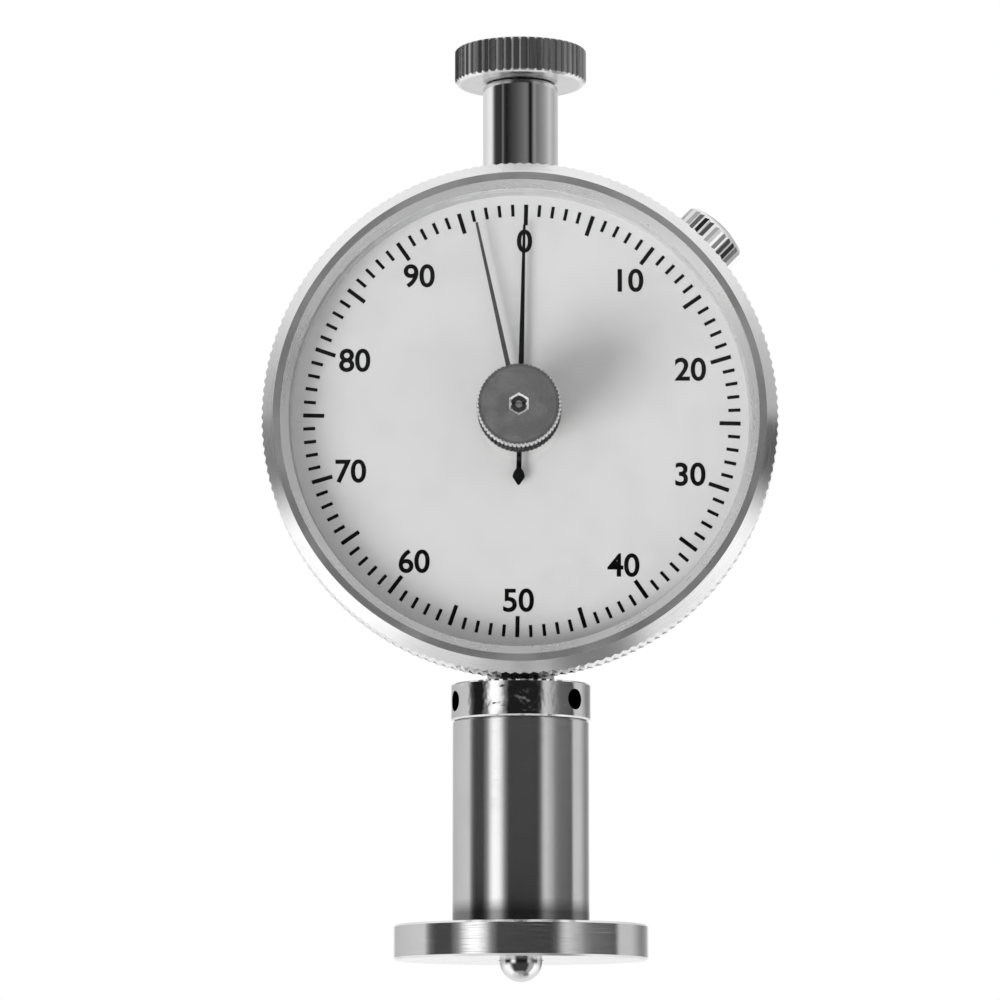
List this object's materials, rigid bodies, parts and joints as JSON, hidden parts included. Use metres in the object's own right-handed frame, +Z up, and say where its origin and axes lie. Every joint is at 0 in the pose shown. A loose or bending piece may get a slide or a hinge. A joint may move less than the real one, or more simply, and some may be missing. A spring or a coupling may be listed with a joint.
{
  "type": "hardness tester",
  "caption": "Round-dial durometer: ball indenter in a flanged presser foot, barrel, lock ring, knurled bezel with drag pointer and centre knob, rim clamp screw and top knob.",
  "frame": {"origin": "centre of the presser foot's flat measuring face, on the spindle axis", "axes": "+Z up along the spindle towards the top knob, dial facing -Y, +X to the right of someone reading the dial"},
  "size_m": [0.06, 0.0336, 0.11],
  "materials": {
    "case_steel": "satin lacquer over die-cast metal",
    "chromed_steel": "polished chrome plate",
    "polished_steel": "polished hardened steel",
    "knurled_steel": "dark knurled steel",
    "steel": "ground steel",
    "spring_steel": "tempered spring wire",
    "brass": "turned brass",
    "dial_paint": "matt light grey enamel",
    "pointer_black": "matt black enamel",
    "drag_pointer_grey": "satin dark enamel",
    "crystal": "clear acrylic"
  },
  "bodies": {
    "case": {"case_body": "case_steel", "back_cover": "case_steel", "cover_screws": "steel", "front_plate": "brass", "rear_plate": "brass", "plate_pillars": "steel", "plate_screws": "steel", "movement_screws": "steel", "centre_bridge": "brass", "bridge_posts": "steel", "pivot_bushes": "brass", "calibrated_spring": "spring_steel", "spring_adjusting_nut": "brass", "lower_guide_bush": "brass", "upper_guide_bush": "brass", "hairspring": "spring_steel", "hairspring_stud": "steel", "bezel_retaining_ring": "steel", "clamp_shoe": "steel", "top_stem": "chromed_steel", "lock_ring": "chromed_steel", "barrel": "chromed_steel", "presser_foot": "chromed_steel"},
    "spindle": {"spindle": "steel", "ball_indenter": "polished_steel", "spring_seat": "steel", "guide_pin": "steel"},
    "rack_arbor": {"rack_pinion_arbor": "steel", "intermediate_wheel": "brass"},
    "centre_arbor": {"centre_pinion_arbor": "steel", "main_pointer": "pointer_black", "main_pointer_hub": "brass"},
    "hair_arbor": {"hairspring_wheel": "brass", "hairspring_arbor": "steel", "hairspring_collet": "brass"},
    "bezel": {"bezel": "chromed_steel", "crystal": "crystal", "crystal_spacer_ring": "dial_paint", "dial_plate": "dial_paint", "dial_clamp_ring": "steel", "drag_bush": "brass", "drag_bush_nut": "brass"},
    "drag": {"drag_arbor": "steel", "drag_pointer": "drag_pointer_grey", "centre_knob": "knurled_steel", "knob_screw": "knurled_steel", "friction_washer": "brass"},
    "clamp_screw": {"bezel_clamp_screw": "knurled_steel"},
    "top_knob": {"top_knob": "knurled_steel"}
  },
  "joints": [
    {"name": "indenter_press", "type": "slide", "parent": "case", "child": "spindle", "axis": [0, 0, 1], "range_m": [0, 0.0025], "stiffness_N_per_m": 3004, "springref_m": -0.00018, "deforming": ["calibrated_spring"]},
    {"name": "rack_pinion_turn", "type": "hinge", "parent": "case", "child": "rack_arbor", "pos_m": [-0.00309, 0, 0.05482], "axis": [0, 1, 0], "range_deg": [-90.01, 0]},
    {"name": "pointer_turn", "type": "hinge", "parent": "case", "child": "centre_arbor", "pos_m": [0, 0, 0.06215], "axis": [0, 1, 0], "range_deg": [0, 360.01]},
    {"name": "hairspring_turn", "type": "hinge", "parent": "case", "child": "hair_arbor", "pos_m": [0.00566, 0, 0.06774], "axis": [0, 1, 0], "range_deg": [-90.01, 0]},
    {"name": "bezel_turn", "type": "hinge", "parent": "case", "child": "bezel", "pos_m": [0, 0, 0.06215], "axis": [0, 1, 0], "continuous": true},
    {"name": "drag_pointer_turn", "type": "hinge", "parent": "bezel", "child": "drag", "pos_m": [0, 0, 0.06215], "axis": [0, 1, 0], "continuous": true},
    {"name": "clamp_screw_turn", "type": "hinge", "parent": "case", "child": "clamp_screw", "pos_m": [0, 0.0016, 0.06215], "axis": [0.6984, 0, 0.7157], "range_deg": [-180, 180]},
    {"name": "top_knob_lift", "type": "slide", "parent": "case", "child": "top_knob", "axis": [0, 0, 1], "range_m": [0, 0.03]}
  ],
  "couplings": [
    {"joint": "rack_pinion_turn", "follows": "indenter_press", "rad_per_m": -628.32},
    {"joint": "pointer_turn", "follows": "indenter_press", "rad_per_m": 2513.3},
    {"joint": "hairspring_turn", "follows": "indenter_press", "rad_per_m": -628.32}
  ]
}
